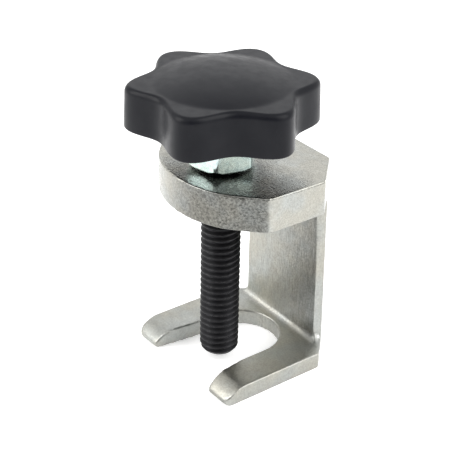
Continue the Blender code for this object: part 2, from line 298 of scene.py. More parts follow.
def speckle(tree, coords, scale, detail=3.0, stretch=(1, 1, 1), turn=0.0, roughness=0.55):
    """A noise pattern with so many grains a metre, stretched along its own axes."""
    mapping = {"Vector": coords, "Rotation": (0, 0, turn), "Scale": stretch}
    mapped = put(tree, "ShaderNodeMapping", {}, mapping).outputs[0]
    grains = {"Vector": mapped, "Scale": scale, "Detail": detail, "Roughness": roughness}
    return put(tree, "ShaderNodeTexNoise", {}, grains).outputs[0]


def bump(tree, height, distance, normal=None):
    """The surface's normal with a height pattern of some depth on it, on top of any earlier normal."""
    sockets = {"Height": height, "Distance": distance, "Strength": 1.0}
    if normal is not None:
        sockets["Normal"] = normal
    return put(tree, "ShaderNodeBump", {}, sockets).outputs[0]


def new_finish(name):
    """A material, its node tree, its shader and its object coordinates."""
    material = bpy.data.materials.new(name)
    material.use_nodes = True
    tree = material.node_tree
    coords = put(tree, "ShaderNodeTexCoord")
    return material, tree, tree.nodes["Principled BSDF"], coords


def rgba(colour):
    return (*colour, 1.0)


def plated_steel(settings):
    """Zinc-plated forging: wrinkled flanks, a ground top, a web with upright brushing, and painted light in
    the colour: painted shade on the arm's front flank and towards the web's right side, and convex edges
    lightened as a painted highlight.
    """
    material, tree, shader, coords = new_finish("plated_steel")
    place = coords.outputs["Object"]
    spot = put(tree, "ShaderNodeSeparateXYZ", {}, {0: place}).outputs
    facing = put(tree, "ShaderNodeSeparateXYZ", {}, {0: coords.outputs["Normal"]}).outputs
    height = spot["Z"]
    web_end, arm_start, arm_full = 50 * MM, 54 * MM, 56 * MM
    arm_level = fade(tree, height, arm_start, arm_full)
    upward = fade(tree, facing["Z"], 0.85, 0.99)
    ground = calculate(tree, "MULTIPLY", arm_level, upward)
    level = calculate(tree, "ABSOLUTE", facing["Z"])
    flank = calculate(tree, "MULTIPLY", arm_level, fade(tree, level, 0.75, 0.35))
    front = calculate(tree, "MULTIPLY", flank, fade(tree, facing["Y"], -0.35, -0.65))
    # The arm's front flank: wrinkled in the bump, and painted darker in the colour, more so towards the
    # right.
    rippled_and_shaded = calculate(tree, "MULTIPLY", front, fade(tree, spot["X"], -8 * MM, 10 * MM, 0.12, 1.0))
    forward = fade(tree, facing["Y"], -0.8, -0.98)
    web = calculate(tree, "MULTIPLY", forward, fade(tree, height, arm_start, web_end))

    patches = speckle(tree, place, 90, 2.0)
    tint = mix_colours(tree, fade(tree, patches, 0.35, 0.65), rgba(settings.cool), rgba(settings.warm))
    blotches = speckle(tree, place, 420, 4.0)
    worn = mix_colours(tree, fade(tree, blotches, 0.3, 0.75, 0.0, 0.35), tint, rgba(settings.dull))
    wrinkles = speckle(tree, place, 1250, 3.0, roughness=0.6)
    grain = speckle(tree, place, 1700, 2.0)
    upright = speckle(tree, place, 300, 3.0, stretch=(12.0, 12.0, 0.7))
    glint = fade(tree, grain, 0.3, 0.7, 0.9, 1.1)
    # Painted shade: the wrinkled front flank is darkened in the colour to about a third to a half, standing
    # in for a dark reflection. The wrinkle pattern only varies it.
    painted_flank_shade = calculate(tree, "MULTIPLY", rippled_and_shaded, fade(tree, wrinkles, 0.35, 0.65, -0.68, -0.48))
    # Painted shade: the web's face is painted lighter at its left side and darker towards its right,
    # standing in for a reflection. The upright streaks added to it are brushing.
    painted_web_shade = fade(tree, spot["X"], -16 * MM, 15 * MM, 0.1, -0.24)
    brushing_and_painted_shade = calculate(tree, "ADD", painted_web_shade, fade(tree, upright, 0.3, 0.7, -0.14, 0.14))
    # Painted highlight: convex edges, found by their pointiness, are lightened in the colour.
    crease = put(tree, "ShaderNodeNewGeometry").outputs["Pointiness"]
    edge = fade(tree, crease, 0.525, 0.6)
    glint = calculate(tree, "ADD", glint, calculate(tree, "MULTIPLY", edge, 0.8))
    web_streaks_and_painted_shade = calculate(tree, "MULTIPLY", web, brushing_and_painted_shade)
    # Brightness of the colour: the glint specks, the painted edge highlight, the painted shade on the front
    # flank and the web, and the web's brushing.
    tone_and_painted_light = calculate(tree, "ADD", glint, calculate(tree, "ADD", painted_flank_shade, web_streaks_and_painted_shade))
    coat_with_painted_light = calculate_vector(tree, "SCALE", {0: worn, "Scale": tone_and_painted_light})
    tree.links.new(coat_with_painted_light, shader.inputs["Base Color"])

    lines = speckle(tree, place, 260, 3.0, stretch=(1.0, 14.0, 1.0), turn=settings.grinding_angle)
    crossing = speckle(tree, place, 260, 3.0, stretch=(14.0, 1.0, 1.0), turn=settings.grinding_angle)
    across = calculate(tree, "ADD", lines, crossing)

    surface = bump(tree, grain, fade(tree, ground, 0.0, 1.0, 0.08 * MM, 0.03 * MM))
    surface = bump(tree, wrinkles, calculate(tree, "MULTIPLY", rippled_and_shaded, settings.wrinkle_depth), surface)
    surface = bump(tree, across, calculate(tree, "MULTIPLY", ground, 0.05 * MM), surface)
    surface = bump(tree, upright, calculate(tree, "MULTIPLY", web, 0.06 * MM), surface)
    tree.links.new(surface, shader.inputs["Normal"])

    rough = fade(tree, speckle(tree, place, 500, 3.0), 0.3, 0.7, 0.34, 0.44)
    for region, change in ((ground, -0.14), (flank, -0.14), (edge, -0.08)):
        rough = calculate(tree, "ADD", rough, calculate(tree, "MULTIPLY", region, change))
    tree.links.new(rough, shader.inputs["Roughness"])
    shader.inputs["Metallic"].default_value = 1.0
    return material


def black_steel(settings):
    """Black oxide on a rolled thread, a little worn on the crests."""
    material, tree, shader, coords = new_finish("black_steel")
    place = coords.outputs["Object"]
    centred = calculate_vector(tree, "SUBTRACT", {0: place, 1: AXIS})
    flat = calculate_vector(tree, "MULTIPLY", {0: centred, 1: (1, 1, 0)})
    radius = calculate_vector(tree, "LENGTH", {0: flat}, "Value")
    scuffs = fade(tree, speckle(tree, place, 900, 4.0), 0.4, 0.7)
    crest = calculate(tree, "MULTIPLY", fade(tree, radius, 5.6 * MM, 6.0 * MM), scuffs)
    colour = mix_colours(tree, crest, rgba(settings.black), rgba(settings.worn_black))
    tree.links.new(colour, shader.inputs["Base Color"])
    grain = speckle(tree, place, 3000, 2.0)
    tree.links.new(bump(tree, grain, 0.01 * MM), shader.inputs["Normal"])
    rough = fade(tree, speckle(tree, place, 700, 3.0), 0.3, 0.7, 0.34, 0.5)
    tree.links.new(rough, shader.inputs["Roughness"])
    shader.inputs["Metallic"].default_value = 0.7
    return material


def zinc_plate(settings):
    """Bright bluish zinc on the nut, faintly mottled."""
    material, tree, shader, coords = new_finish("zinc_plate")
    place = coords.outputs["Object"]
    mottle = fade(tree, speckle(tree, place, 520, 4.0), 0.35, 0.7)
    colour = mix_colours(tree, mottle, rgba(settings.zinc), rgba(settings.dull_zinc))
    tree.links.new(colour, shader.inputs["Base Color"])
    dimples = speckle(tree, place, 800, 3.0)
    turning = speckle(tree, place, 200, 2.0, stretch=(1, 1, 16))
    surface = bump(tree, dimples, 0.01 * MM)
    surface = bump(tree, turning, 0.004 * MM, surface)
    tree.links.new(surface, shader.inputs["Normal"])
    rough = fade(tree, mottle, 0.0, 1.0, 0.1, 0.22)
    tree.links.new(rough, shader.inputs["Roughness"])
    shader.inputs["Metallic"].default_value = 1.0
    return material


def black_plastic(settings):
    """Satin moulded plastic with a fine mould texture and a few pale rubs."""
    material, tree, shader, coords = new_finish("black_plastic")
    place = coords.outputs["Object"]
    cloud = fade(tree, speckle(tree, place, 120, 3.0), 0.35, 0.7)
    base = mix_colours(tree, cloud, rgba(settings.plastic), rgba(settings.pale_plastic))
    tree.links.new(base, shader.inputs["Base Color"])
    grain = speckle(tree, place, 2400, 2.0)
    swell = speckle(tree, place, 130, 2.0)
    surface = bump(tree, grain, 0.008 * MM)
    surface = bump(tree, swell, 0.05 * MM, surface)
    tree.links.new(surface, shader.inputs["Normal"])
    rough = fade(tree, speckle(tree, place, 300, 4.0), 0.3, 0.7, 0.28, 0.38)
    tree.links.new(rough, shader.inputs["Roughness"])
    shader.inputs["Specular IOR Level"].default_value = 0.15
    return material


def turned_brass(settings):
    """Turned brass for the bush in the knob's hub."""
    material, tree, shader, coords = new_finish("turned_brass")
    place = coords.outputs["Object"]
    stain = fade(tree, speckle(tree, place, 600, 3.0), 0.35, 0.7)
    colour = mix_colours(tree, stain, rgba(settings.brass), rgba(settings.dull_brass))
    tree.links.new(colour, shader.inputs["Base Color"])
    rings = speckle(tree, place, 300, 2.0, stretch=(1, 1, 20))
    tree.links.new(bump(tree, rings, 0.01 * MM), shader.inputs["Normal"])
    rough = fade(tree, stain, 0.0, 1.0, 0.24, 0.38)
    tree.links.new(rough, shader.inputs["Roughness"])
    shader.inputs["Metallic"].default_value = 1.0
    return material


# Frame


def frame_side_outline(size):
    """The C seen from the side, with fillets inside and the prongs' tips rounded down."""
    height = size.height
    arm = height - size.arm_thickness
    foot = size.foot_thickness
    front = BACK_Y - size.web_thickness
    upper, lower = size.arm_fillet, size.foot_fillet
    outline = [(BACK_Y, 0), (BACK_Y, height), (-FAR, height), (-FAR, arm)]
    outline += arc((front - upper, arm - upper), upper, 90, 0, 8)
    outline += arc((front - lower, foot + lower), lower, 0, -90, 8)
    tip = size.tip_y
    nose = [
        (tip + 7.4 * MM, foot),
        (tip + 5.6 * MM, foot - 0.22 * MM),
        (tip + 3.6 * MM, foot - 0.95 * MM),
        (tip + 1.7 * MM, foot - 2.1 * MM),
        (tip + 0.5 * MM, foot - 3.2 * MM),
        (tip, foot - 4.1 * MM),
        (tip + 0.2 * MM, foot - 4.9 * MM),
        (tip + 0.9 * MM, 0),
    ]
    return outline + smooth_path(nose, 4)


def frame_front_outline(size):
    """Half widths seen from the front: wide foot and arm, narrow web, with fillets between them."""
    fillet = size.side_fillet
    side = size.web_half_width
    foot = size.foot_thickness + CUT_MARGIN
    arm = size.height - size.arm_thickness - CUT_MARGIN
    half = [(2 * FRAME_HIGH.x, -FAR), (2 * FRAME_HIGH.x, foot)]
    half += arc((side + fillet, foot + fillet), fillet, 270, 180, 8)
    half += arc((side + fillet, arm - fillet), fillet, 180, 90, 8)
    half += [(2 * FRAME_HIGH.x, arm), (2 * FRAME_HIGH.x, FAR)]
    return half + [(-x, z) for x, z in reversed(half)]


def arm_plan():
    """The arm from above: a round front that turns into slightly flared sides, open to the back."""
    half = [
        (0, -16.1 * MM),
        (6.7 * MM, -15.3 * MM),
        (13.4 * MM, -12.9 * MM),
        (18.3 * MM, -9.5 * MM),
        (23.6 * MM, -4.4 * MM),
        (24.8 * MM, -3.1 * MM),
        (25.55 * MM, -1.7 * MM),
        (25.75 * MM, 0.2 * MM),
        (25.95 * MM, 10.0 * MM),
        (26.2 * MM, 2 * BACK_Y),
    ]
    right = smooth_path(half, 8)
    left = [(-x, y) for x, y in reversed(right)]
    return left[:-1] + right


def foot_plan(size):
    """The fork from above: outer sides, rounded prong tips and the round-ended slot."""
    outer, tip = size.foot_half_width, size.tip_y
    slot, centre = size.slot_radius, size.slot_centre_y
    corner, inner_corner = 2.3 * MM, 1.3 * MM
    flare_overrun = 1 * MM
    mouth = slot + size.slot_flare * (centre - tip + flare_overrun)
    half = [(outer, 2 * BACK_Y)]
    half += arc((outer - corner, tip + corner), corner, 0, -90, 8)
    half += arc((mouth + inner_corner, tip + inner_corner), inner_corner, 270, 180, 6)
    throat = [(slot + 0.45 * MM, centre - 12.5 * MM), (slot, centre - 8 * MM), (slot, centre)]
    half += smooth_path(throat, 6)[:-1]
    half += arc((0, centre), slot, 0, 90, 24)
    return half + [(-x, y) for x, y in reversed(half[:-1])]


def edge_trim(size, collection):
    """The tapering chamfer down the web's right inner edge."""
    inner = BACK_Y - size.web_thickness
    low, high = 24 * MM, 53.5 * MM
    low_width, low_start, outside = 2.0 * MM, 17.0 * MM, 19 * MM
    taper, slope = 0.065, 0.8
    before = inner - 2 * MM
    shape = bmesh.new()
    for z in (low, high):
        growth = taper * (z - low)
        start = low_start - growth
        back = inner + (low_width + growth) * slope
        for point in ((start, inner), (outside, back), (outside, before), (start, before)):
            shape.verts.new((*point, z))
    bmesh.ops.convex_hull(shape, input=shape.verts)
    return object_from(shape, "edge trim", collection)


def corner_cutter(size, side, collection):
    """A block whose face cuts one back corner off, leaning by the corner taper."""
    outward = Vector((side, 1, size.corner_taper)).normalized()
    shape = bmesh.new()
    bmesh.ops.create_cube(shape, size=2 * FAR)
    turn = outward.to_track_quat("Z", "Y").to_matrix().to_4x4()
    place = Vector((side * size.corner_reach / 2, size.corner_reach / 2, 0)) + outward * FAR
    bmesh.ops.transform(shape, matrix=Matrix.Translation(place) @ turn, verts=shape.verts)
    return object_from(shape, "corner", collection)


def bore_cutter(size, collection):
    """The screw's bore, with a chamfer at both mouths."""
    top, arm = size.height, size.height - size.arm_thickness
    bore, mouth = size.bore_radius, size.bore_radius + size.bore_chamfer
    past = 1 * MM
    profile = [
        (0, top + past),
        (mouth + past, top + past),
        (bore, top - (mouth - bore)),
        (bore, arm + (mouth - bore)),
        (mouth + past, arm - past),
        (0, arm - past),
    ]
    return turned("bore", profile, 64, collection)


def soften(obj, name, weight_of, factor, rounds):
    """Smooth the mesh where weight_of(place) says so."""
    group = obj.vertex_groups.new(name=name)
    for vert in obj.data.vertices:
        weight = weight_of(vert.co)
        if weight > 0:
            group.add([vert.index], weight, "REPLACE")
    modifier = obj.modifiers.new(name, "SMOOTH")
    modifier.vertex_group = name
    modifier.factor = factor
    modifier.iterations = rounds


def band(value, low, high, soft):
    """1 between low and high, falling to 0 over soft on both sides."""
    return max(0.0, min(1.0, (value - low) / soft + 1, (high - value) / soft + 1))


def outer_edge_weight(size, p):
    """How much smoothing p gets: the arm off its bore, the fork's outside and tips, and the cut corners."""
    arm = size.height - size.arm_thickness
    arm_rims = band(p.z, arm - 1 * MM, size.height + 1 * MM, 1 * MM)
    near_bore = band(math.hypot(p.x, p.y), 0, size.bore_radius + 1.5 * MM, 1 * MM)
    foot_outside = band(abs(p.x), size.foot_half_width - 2.5 * MM, FAR, 1.5 * MM)
    foot_outside *= band(p.z, -1 * MM, 7 * MM, 1 * MM)
    tips = band(p.y, -FAR, size.tip_y + 3 * MM, 2 * MM)
    corners = band(abs(p.x) + p.y, size.corner_reach - 4 * MM, FAR, 2 * MM)
    return max(arm_rims * (1 - near_bore), foot_outside, tips, corners) * 0.9


def roughen_flanks(mesh, size):
    """Push the forged skin in and out a little: broad waves all over, pebbles round the arm's flank.

    The inset draws the whole skin in, to make room for them.
    """
    arm = size.height - size.arm_thickness
    wave_scale, pebble_scale = 140, 620
    inset = 1.15 * size.forging_wave
    rim = 1.2 * MM
    normals = [vert.normal.copy() for vert in mesh.vertices]
    for vert, normal in zip(mesh.vertices, normals):
        place = vert.co
        wave = noise.noise(place * wave_scale) * size.forging_wave
        upright = max(0.0, 1 - abs(normal.z) * 1.6)
        flank = band(place.z, arm + rim, size.height - rim, 1 * MM) * upright
        pebble = noise.noise(place * pebble_scale) * size.pebble_height * flank
        vert.co += normal * (wave * (1 - 0.75 * abs(normal.z)) + pebble - inset)


def make_frame(size):
    cutters = work_collection()
    body = prism("frame_forging", [frame_side_outline(size)], side_view(), -FAR / 2, FAR / 2)
    front = prism("front", [frame_front_outline(size)], front_view(), -FAR, FAR, cutters)
    boolean(body, as_cutter(front), "INTERSECT")
    border = [(-FAR, -2 * FAR), (FAR, -2 * FAR), (FAR, FAR), (-FAR, FAR)]
    half_way = size.height / 2
    for name, plan, low, high in (
        ("arm trim", arm_plan(), half_way, FAR),
        ("foot trim", foot_plan(size), -FAR / 2, half_way - CUT_MARGIN),
    ):
        boolean(body, as_cutter(prism(name, [border, plan], plan_view(), low, high, cutters)), "DIFFERENCE")
    for side in (-1, 1):
        boolean(body, as_cutter(corner_cutter(size, side, cutters)), "DIFFERENCE")
    boolean(body, as_cutter(edge_trim(size, cutters)), "DIFFERENCE")
    boolean(body, as_cutter(bore_cutter(size, cutters)), "DIFFERENCE")
    apply_modifiers(body)
    remesh = body.modifiers.new("even skin", "REMESH")
    remesh.mode = "VOXEL"
    remesh.voxel_size = size.skin_step
    apply_modifiers(body)
    soften(body, "all edges", lambda p: 1.0, 0.5, 3)
    soften(body, "outer edges", lambda p: outer_edge_weight(size, p), 0.5, 7)
    apply_modifiers(body)
    roughen_flanks(body.data, size)
    return body


# Screw


def thread_profile(size):
    """One pitch of the thread's outline as (radius, height) points, crest in the middle."""
    root = size.radius - size.thread_depth
    half = size.pitch / 2
    flank = size.thread_depth * math.tan(math.radians(30))
    crest = size.pitch / 16
    right = [
        (size.radius, 0),
        (size.radius - 0.02 * MM, crest * 0.8),
        (size.radius - 0.12 * MM, crest + 0.07 * MM),
        ((size.radius + root) / 2, crest + flank / 2),
        (root + 0.14 * MM, crest + flank - 0.07 * MM),
        (root + 0.03 * MM, crest + flank + 0.06 * MM),
        (root, half),
    ]
    left = [(radius, -height) for radius, height in reversed(right[1:])]
    return left + right


def threaded_rod(size, low, nut_top):
    """A thread wound from below the screw's end to above the nut, closed by a point at each end."""
    start = low - 2 * size.pitch
    turns = math.ceil((nut_top + size.pitch - start) / size.pitch)
    steps = size.steps_per_turn
    shape = bmesh.new()
    bmesh.ops.spin(
        shape,
        geom=draw_line(shape, [(radius, start + height) for radius, height in thread_profile(size)]),
        cent=(0, 0, 0),
        axis=(0, 0, 1),
        dvec=(0, 0, size.pitch / steps),
        angle=math.tau * turns,
        steps=steps * turns,
    )
    bmesh.ops.remove_doubles(shape, verts=shape.verts, dist=WELD_DISTANCE)
    rims = [edge for edge in shape.edges if edge.is_boundary]
    middle = (low + nut_top) / 2
    for end, height in ((-1, start - size.pitch), (1, start + (turns + 1) * size.pitch)):
        rim = [edge for edge in rims if (edge.verts[0].co.z - middle) * end > 0]
        grown = bmesh.ops.extrude_edge_only(shape, edges=rim)["geom"]
        for vert in grown:
            if isinstance(vert, bmesh.types.BMVert):
                vert.co = (0, 0, height)
    bmesh.ops.remove_doubles(shape, verts=shape.verts, dist=WELD_DISTANCE)
    bmesh.ops.recalc_face_normals(shape, faces=shape.faces)
    return object_from(shape, "forcing_screw")


def screw_envelope(size, low, nut_top, high):
    """What the thread is cut back to: a rounded nose below, and a plain spigot above the nut."""
    spigot = size.radius - size.thread_depth - 0.3 * MM
    end_chamfer = 0.6 * MM
    wide = size.radius + 0.2 * MM
    profile = [(0, high), (spigot - end_chamfer, high), (spigot, high - end_chamfer)]
    profile += [(spigot, nut_top), (wide, nut_top - size.thread_depth)]
    nose, steps = wide - size.nose_flat, 12
    for step in range(steps + 1):
        turn = math.radians(90 * step / steps)
        radius = size.nose_flat + nose * math.cos(turn)
        profile.append((radius, low + size.nose_length * (1 - math.sin(turn))))
    return [*profile, (0, low)]


def make_screw(size):
    low, nut_top = SCREW_LOW.z, NUT_HIGH.z
    screw = threaded_rod(size, low, nut_top)
    envelope = screw_envelope(size, low, nut_top, SCREW_HIGH.z)
    boolean(screw, as_cutter(turned("screw envelope", envelope, 64, work_collection())), "INTERSECT")
    apply_modifiers(screw)
    return screw


# Nut


def make_nut(size):
    cutters = work_collection()
    low, high = NUT_LOW.z, NUT_HIGH.z
    corner_radius = size.across_flats / math.sqrt(3)
    corners = [size.angle + step * math.tau / 6 for step in range(6)]
    outline = [(corner_radius * math.cos(turn), corner_radius * math.sin(turn)) for turn in corners]
    nut = prism("hex_nut", [outline], plan_view(), low, high)
    bevel = nut.modifiers.new("rounded edges", "BEVEL")
    bevel.width = size.edge_rounding
    bevel.segments = 8
    bevel.limit_method = "ANGLE"
    bevel.angle_limit = math.radians(40)
    wide = corner_radius + 1 * MM
    start = size.across_flats / 2 - 0.8 * MM
    drop = (wide - start - 0.5 * MM) * math.tan(math.radians(42))  # with the margin, a cone of 40.5 degrees
    profile = [(0, high + CUT_MARGIN), (start, high + CUT_MARGIN), (wide, high - drop)]
    profile += [(wide, low + drop), (start, low - CUT_MARGIN), (0, low - CUT_MARGIN)]
    boolean(nut, as_cutter(turned("nut chamfers", profile, 96, cutters)), "INTERSECT")
    bore, countersink = size.bore_radius, 0.8 * MM
    past = 0.6 * MM
    mouth = bore + countersink + past
    hole = [(0, high + past), (mouth, high + past), (bore, high - countersink)]
    hole += [(bore, low + countersink), (mouth, low - past), (0, low - past)]
    boolean(nut, as_cutter(turned("nut bore", hole, 64, cutters)), "DIFFERENCE")
    apply_modifiers(nut)
    return nut


# Knob


def lobe_radius(size, angle):
    wave = size.lobes * (angle - size.lobe_angle)
    return size.mean_radius + size.lobe_height * (math.cos(wave) + size.lobe_sharpness * math.cos(2 * wave))


def knob_crown(size, radius):
    """Height of the knob's top at a radius: a shallow dome blended into a shoulder that falls outwards."""
    ball = size.dome_radius**2 / (2 * size.dome_height)
    cap = KNOB_HIGH.z - radius**2 / (2 * ball)
    shoulder = KNOB_HIGH.z - size.dome_height - size.shoulder_slope * (radius - size.dome_radius)
    blend = math.sqrt((cap - shoulder) ** 2 + size.dome_blend**2)
    return 0.5 * (cap + shoulder + blend) - size.dome_blend / 2


def knob_column(size, angle):
    """(radius, height) points down the outside of the knob at one angle, from dome to underside."""
    rim = lobe_radius(size, angle)
    edge = size.top_rounding
    dome_steps, shoulder_steps, edge_steps, side_steps, low_steps = 14, 12, 10, 6, 6
    inner, outer = size.dome_radius * 0.92, rim - edge
    crowding = 0.8  # under 1, the points stand closer together towards the dome's foot
    radii = [inner * (step / dome_steps) ** crowding for step in range(1, dome_steps + 1)]
    radii += [inner + (outer - inner) * step / shoulder_steps for step in range(1, shoulder_steps + 1)]
    column = [(radius, knob_crown(size, radius)) for radius in radii]
    top = column[-1][1]
    for step in range(1, edge_steps + 1):
        turn = math.radians(90 * step / edge_steps)
        column.append((outer + (edge - size.draft) * math.sin(turn), top - edge * (1 - math.cos(turn))))
    side_top = column[-1][1]
    low_round = size.bottom_rounding
    side_low = size.base + low_round
    for step in range(1, side_steps + 1):
        share = step / side_steps
        column.append((rim - size.draft * (1 - share), side_top + (side_low - side_top) * share))
    for step in range(1, low_steps + 1):
        turn = math.radians(90 * step / low_steps)
        column.append((rim - low_round * (1 - math.cos(turn)), side_low - low_round * math.sin(turn)))
    return column


def hollow_outline(size, index):
    """One of the pockets under the knob, between two ribs, the hub and the outer wall."""
    pitch = math.tau / size.lobes
    outer_trim = size.rib / 2 / (size.mean_radius - size.wall)
    inner_trim = size.rib / 2 / size.hub_radius
    start = size.lobe_angle + pitch * (index - 0.5)
    points = []
    wall_steps, hub_steps = 16, 8
    for step in range(wall_steps + 1):
        angle = start + outer_trim + (pitch - 2 * outer_trim) * step / wall_steps
        radius = lobe_radius(size, angle) - size.wall
        points.append((radius * math.cos(angle), radius * math.sin(angle)))
    for step in range(hub_steps + 1):
        angle = start + pitch - inner_trim - (pitch - 2 * inner_trim) * step / hub_steps
        points.append((size.hub_radius * math.cos(angle), size.hub_radius * math.sin(angle)))
    return points


def knob_body(size):
    """The knob's outside, closed flat underneath, before the pockets are cut."""
    shape = bmesh.new()
    columns = 288
    top = shape.verts.new((0, 0, knob_crown(size, 0)))
    grid = []
    for index in range(columns):
        angle = index * math.tau / columns
        column = knob_column(size, angle)
        grid.append([shape.verts.new((r * math.cos(angle), r * math.sin(angle), z)) for r, z in column])
    bottom = shape.verts.new((0, 0, size.base))
    for left, right in zip(grid, grid[1:] + grid[:1]):
        shape.faces.new((top, left[0], right[0]))
        for row in range(len(left) - 1):
            shape.faces.new((left[row], left[row + 1], right[row + 1], right[row]))
        shape.faces.new((left[-1], bottom, right[-1]))
    bmesh.ops.recalc_face_normals(shape, faces=shape.faces)
    return object_from(shape, "lobed_knob")


def pocket_cutter(size, index, collection):
    """One pocket under the knob, with a rounded floor."""
    below, floor = size.base - 3 * MM, size.base + size.hollow_depth
    pocket = prism(f"hollow {index}", [hollow_outline(size, index)], plan_view(), below, floor, collection)
    rounded = pocket.modifiers.new("rounded floor", "BEVEL")
    rounded.width = 0.7 * MM
    rounded.segments = 3
    rounded.limit_method = "ANGLE"
    rounded.angle_limit = math.radians(60)
    return pocket


def hub_profile(size):
    """Half a section of the hub, which comes down below the rim with a small chamfer."""
    base, inside = KNOB_LOW.z, size.base + size.hollow_depth / 2
    hub, draft, chamfer = size.hub_radius - 0.2 * MM, 0.1 * MM, 0.5 * MM
    return [
        (0, inside),
        (hub, inside),
        (hub - draft, base + chamfer),
        (hub - draft - chamfer, base),
        (0, base),
    ]


def seat_profile(size):
    """Half a section of the bush's seat in the hub, open below."""
    gap = 0.3 * MM
    top, below = BUSH_HIGH.z + gap, KNOB_LOW.z - 1 * MM
    return [(0, top), (size.seat_radius, top), (size.seat_radius, below), (0, below)]


def make_knob(size):
    cutters = work_collection()
    knob = knob_body(size)
    for index in range(size.lobes):
        boolean(knob, as_cutter(pocket_cutter(size, index, cutters)), "DIFFERENCE")
    boolean(knob, as_cutter(turned("hub", hub_profile(size), 64, cutters)), "UNION")
    boolean(knob, as_cutter(turned("seat", seat_profile(size), 64, cutters)), "DIFFERENCE")
    apply_modifiers(knob)
    return knob


# Stage


def away(azimuth, elevation):
    """The direction away from the object at an azimuth, 0 being the side that the fork opens to."""
    level = math.cos(elevation)
    return Vector((math.sin(azimuth) * level, -math.cos(azimuth) * level, math.sin(elevation)))


def view_axes(stage):
    """Right, up and back directions of the camera."""
    azimuth, roll = stage.azimuth, stage.roll
    back = away(azimuth, stage.elevation)
    right = Vector((math.cos(azimuth), math.sin(azimuth), 0))
    up = back.cross(right)
    return (
        right * math.cos(roll) - up * math.sin(roll),
        right * math.sin(roll) + up * math.cos(roll),
        back,
    )


def make_camera(stage):
    right, up, back = view_axes(stage)
    target = AXIS + Vector((0, 0, stage.target_height))
    place = target + stage.distance * back + stage.slide_right * right + stage.slide_up * up
    data = bpy.data.cameras.new("camera")
    data.sensor_width = 36
    data.lens = stage.lens
    data.clip_start = 0.01
    data.clip_end = 20
    camera = new_object("camera", data)
    camera.matrix_world = Matrix.Translation(place) @ Matrix((right, up, back)).transposed().to_4x4()
    bpy.context.scene.camera = camera


def soft_light(name, power, width, height, azimuth, elevation, distance, colour=(1, 1, 1)):
    """A softbox that faces the object from an azimuth and an elevation in degrees."""
    data = bpy.data.lights.new(name, "AREA")
    data.shape = "RECTANGLE"
    data.size = width
    data.size_y = height
    data.energy = power
    data.color = colour
    light = new_object(name, data)
    back = away(math.radians(azimuth), math.radians(elevation))
    light.location = LIGHTS_AIM + distance * back
    light.rotation_mode = "QUATERNION"
    light.rotation_quaternion = back.to_track_quat("Z", "Y")


def make_world(stage):
    """Soft white surroundings, darker on the side where the camera stands."""
    world = bpy.data.worlds.new("studio")
    bpy.context.scene.world = world
    world.use_nodes = True
    tree = world.node_tree
    direction = put(tree, "ShaderNodeTexCoord").outputs["Generated"]
    side = calculate_vector(tree, "DOT_PRODUCT", {0: direction, 1: away(stage.dark_azimuth, 0)}, "Value")
    softness = 0.12
    start, end = stage.dark_edge - softness, stage.dark_edge + softness
    light = fade(tree, side, start, end, 1.0, stage.dark_share)
    shade = calculate_vector(tree, "SCALE", {0: stage.sky_colour, "Scale": light})
    background = tree.nodes["Background"]
    tree.links.new(shade, background.inputs["Color"])
    background.inputs["Strength"].default_value = stage.sky_strength


def pale_floor(stage):
    """Plain pale floor that gives off a little light of its own."""
    material, tree, shader, coords = new_finish("pale_floor")
    cloud = fade(tree, speckle(tree, coords.outputs["Object"], 6, 2.0), 0.3, 0.7)
    pale = mix_colours(tree, cloud, rgba(stage.floor_colour), rgba([0.99 * c for c in stage.floor_colour]))
    tree.links.new(pale, shader.inputs["Base Color"])
    shader.inputs["Roughness"].default_value = 0.9
    shader.inputs["Specular IOR Level"].default_value = 0.1
    shader.inputs["Emission Color"].default_value = rgba(stage.floor_colour)
    shader.inputs["Emission Strength"].default_value = stage.floor_glow
    return material


def make_lights():
    """Three softboxes: power in watts, sizes and distances in metres, directions in degrees."""
    warm, cold = (1, 0.99, 0.97), (0.98, 0.99, 1)
    soft_light("right box", power=7.0, width=0.9, height=0.9, azimuth=118, elevation=42, distance=1.1)
    soft_light(
        "left box", power=6.5, width=0.6, height=0.8, azimuth=-28, elevation=32, distance=1.1, colour=warm
    )
    soft_light(
        "back box", power=1.6, width=1.4, height=0.6, azimuth=232, elevation=34, distance=1.3, colour=cold
    )


def make_stage(stage):
    shape = bmesh.new()
    bmesh.ops.create_grid(shape, x_segments=2, y_segments=2, size=stage.floor_size / 2)
    floor = object_from(shape, "floor")
    floor.location.z = -FLOOR_DROP
    floor.data.materials.append(pale_floor(stage))
    make_world(stage)
    make_lights()
    bpy.context.scene.view_settings.view_transform = "Standard"
    make_camera(stage)


# Settings


def length(name, description, default):
    return bpy.props.FloatProperty(
        name=name, description=description, default=default, unit="LENGTH", precision=5
    )


def angle(name, description, default):
    """An angle, with its default in degrees."""
    return bpy.props.FloatProperty(
        name=name, description=description, default=math.radians(default), subtype="ANGLE"
    )


def factor(name, description, default):
    return bpy.props.FloatProperty(
        name=name, description=description, default=default, subtype="FACTOR", soft_min=0, soft_max=1
    )


def count(name, description, default):
    return bpy.props.IntProperty(
        name=name, description=description, default=default, subtype="UNSIGNED", min=1
    )


def colour(name, description, default):
    return bpy.props.FloatVectorProperty(
        name=name, description=description, default=default, size=3, subtype="COLOR", min=0, max=1
    )


